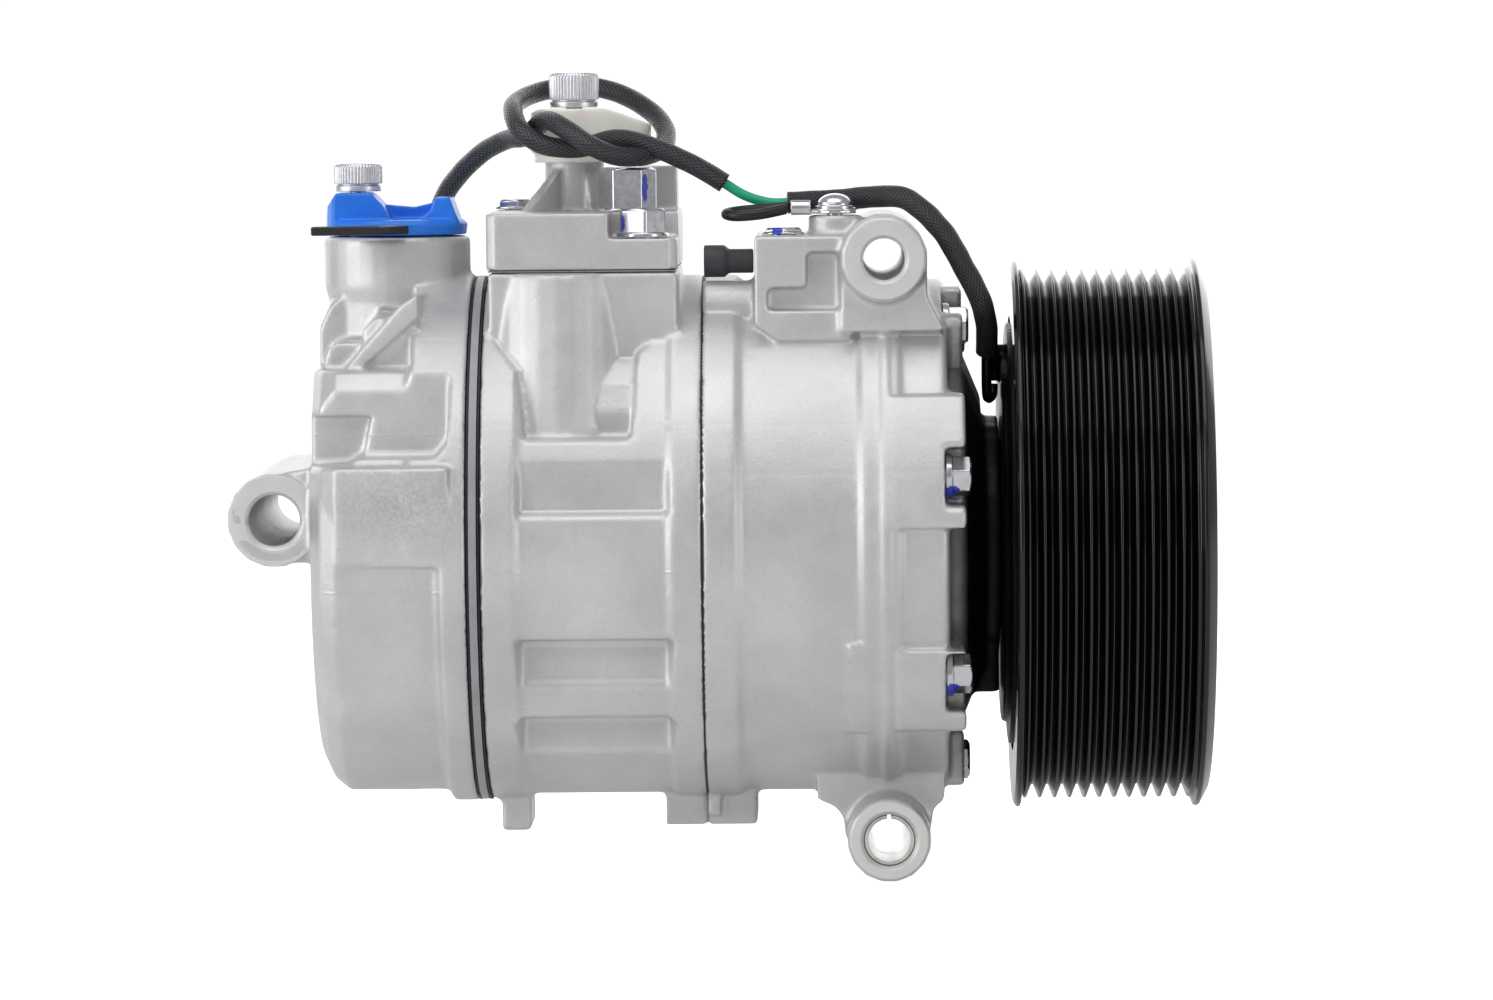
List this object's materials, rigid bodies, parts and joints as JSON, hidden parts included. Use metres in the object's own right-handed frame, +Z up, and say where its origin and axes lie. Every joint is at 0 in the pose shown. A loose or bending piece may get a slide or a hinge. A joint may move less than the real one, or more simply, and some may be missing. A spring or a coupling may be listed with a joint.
{
  "type": "automotive air conditioning compressor",
  "caption": "Belt-driven swash-plate compressor for vehicle air conditioning, with a grooved pulley, magnetic clutch, cast casing, mounting eyes and shipping caps.",
  "frame": {"origin": "shaft axis at the plane of the two front mounting eyes", "axes": "+X along the shaft towards the pulley, +Y away from the side with the lead, +Z up towards the ports"},
  "size_m": [0.2302, 0.1422, 0.1896],
  "materials": {
    "cast_aluminium": "sand-cast grain, satin",
    "gasket_sheet": "dull rubber-coated sheet",
    "plate_steel": "rolled edge",
    "zinc_plated": "bright zinc plating",
    "machined_steel": "turned",
    "bearing_bronze": "turned",
    "piston_alloy": "machined",
    "black_rubber": "matt",
    "black_paint": "gloss",
    "blue_plastic": "satin moulding",
    "milky_plastic": "translucent moulding",
    "black_moulding": "satin",
    "woven_sleeving": "braided sleeve",
    "wire_insulation": "smooth insulation"
  },
  "bodies": {
    "casing": {"rear_housing": "cast_aluminium", "cylinder_block": "cast_aluminium", "front_housing": "cast_aluminium", "muffler_cover": "cast_aluminium", "head_gasket": "gasket_sheet", "block_gasket": "gasket_sheet", "muffler_gasket": "gasket_sheet", "valve_plate": "plate_steel", "cover_bolt_1": "zinc_plated", "cover_bolt_2": "zinc_plated", "oil_plug": "zinc_plated", "earth_terminal": "zinc_plated", "earth_screw": "zinc_plated", "suction_cap_screw": "zinc_plated", "discharge_cap_screw": "zinc_plated", "through_bolt_1": "zinc_plated", "through_bolt_2": "zinc_plated", "through_bolt_3": "zinc_plated", "through_bolt_4": "zinc_plated", "through_bolt_5": "zinc_plated", "through_bolt_6": "zinc_plated", "through_bolt_7": "zinc_plated", "relief_plug": "machined_steel", "eye_sleeve": "machined_steel", "control_valve": "machined_steel", "return_spring": "machined_steel", "bearing_inner_race": "machined_steel", "rear_bearing": "bearing_bronze", "front_bearing": "bearing_bronze", "shaft_seal": "black_rubber", "clutch_coil": "black_paint", "suction_cap": "blue_plastic", "discharge_cap": "milky_plastic", "suction_cap_tab": "black_moulding", "link_pipe": "black_moulding", "connector": "black_moulding", "front_sleeve": "woven_sleeving", "rear_sleeve": "woven_sleeving", "lead_wire_front": "wire_insulation", "lead_wire_link": "wire_insulation", "earth_wire": "wire_insulation"},
    "pulley": {"pulley": "black_paint", "bearing_outer_race": "machined_steel", "bearing_ball_cage": "machined_steel"},
    "shaft": {"drive_shaft": "machined_steel", "lug_plate": "machined_steel", "thrust_bearing": "machined_steel", "clutch_hub": "machined_steel", "damper_ring": "black_rubber", "hub_bolt": "zinc_plated"},
    "armature": {"armature_plate": "machined_steel"},
    "sleeve": {"swash_sleeve": "bearing_bronze"},
    "swash": {"swash_plate": "machined_steel"},
    "piston_1": {"piston_1": "piston_alloy"},
    "piston_2": {"piston_2": "piston_alloy"},
    "piston_3": {"piston_3": "piston_alloy"},
    "piston_4": {"piston_4": "piston_alloy"},
    "piston_5": {"piston_5": "piston_alloy"},
    "piston_6": {"piston_6": "piston_alloy"},
    "piston_7": {"piston_7": "piston_alloy"}
  },
  "joints": [
    {"name": "pulley_spin", "type": "hinge", "parent": "casing", "child": "pulley", "pos_m": [0.05, 0, 0], "axis": [1, 0, 0], "continuous": true},
    {"name": "shaft_spin", "type": "hinge", "parent": "casing", "child": "shaft", "pos_m": [0, 0, 0], "axis": [1, 0, 0], "continuous": true},
    {"name": "armature_engage", "type": "slide", "parent": "shaft", "child": "armature", "axis": [-1, 0, 0], "range_m": [0, 0.0004], "stiffness_N_per_m": 8000},
    {"name": "sleeve_slide", "type": "slide", "parent": "casing", "child": "sleeve", "axis": [1, 0, 0], "range_m": [0, 0.01396], "deforming": ["return_spring"]},
    {"name": "swash_tilt", "type": "hinge", "parent": "sleeve", "child": "swash", "pos_m": [-0.03, 0, 0], "axis": [0, -0.9356, -0.353], "range_deg": [0, 19], "stiffness_Nm_per_rad": 2},
    {"name": "piston_1_slide", "type": "slide", "parent": "casing", "child": "piston_1", "axis": [1, 0, 0], "range_m": [0, 0.0014]},
    {"name": "piston_2_slide", "type": "slide", "parent": "casing", "child": "piston_2", "axis": [1, 0, 0], "range_m": [0, 0.0014]},
    {"name": "piston_3_slide", "type": "slide", "parent": "casing", "child": "piston_3", "axis": [1, 0, 0], "range_m": [0, 0.01086]},
    {"name": "piston_4_slide", "type": "slide", "parent": "casing", "child": "piston_4", "axis": [1, 0, 0], "range_m": [0, 0.02266]},
    {"name": "piston_5_slide", "type": "slide", "parent": "casing", "child": "piston_5", "axis": [1, 0, 0], "range_m": [0, 0.02791]},
    {"name": "piston_6_slide", "type": "slide", "parent": "casing", "child": "piston_6", "axis": [1, 0, 0], "range_m": [0, 0.02266]},
    {"name": "piston_7_slide", "type": "slide", "parent": "casing", "child": "piston_7", "axis": [1, 0, 0], "range_m": [0, 0.01086]}
  ],
  "couplings": [
    {"joint": "sleeve_slide", "follows": "swash_tilt", "m_per_rad": 0.042053},
    {"joint": "piston_1_slide", "follows": "swash_tilt", "m_per_rad": 0.004165},
    {"joint": "piston_2_slide", "follows": "swash_tilt", "m_per_rad": 0.004165},
    {"joint": "piston_3_slide", "follows": "swash_tilt", "m_per_rad": 0.032695},
    {"joint": "piston_4_slide", "follows": "swash_tilt", "m_per_rad": 0.068272},
    {"joint": "piston_5_slide", "follows": "swash_tilt", "m_per_rad": 0.084106},
    {"joint": "piston_6_slide", "follows": "swash_tilt", "m_per_rad": 0.068272},
    {"joint": "piston_7_slide", "follows": "swash_tilt", "m_per_rad": 0.032695}
  ]
}
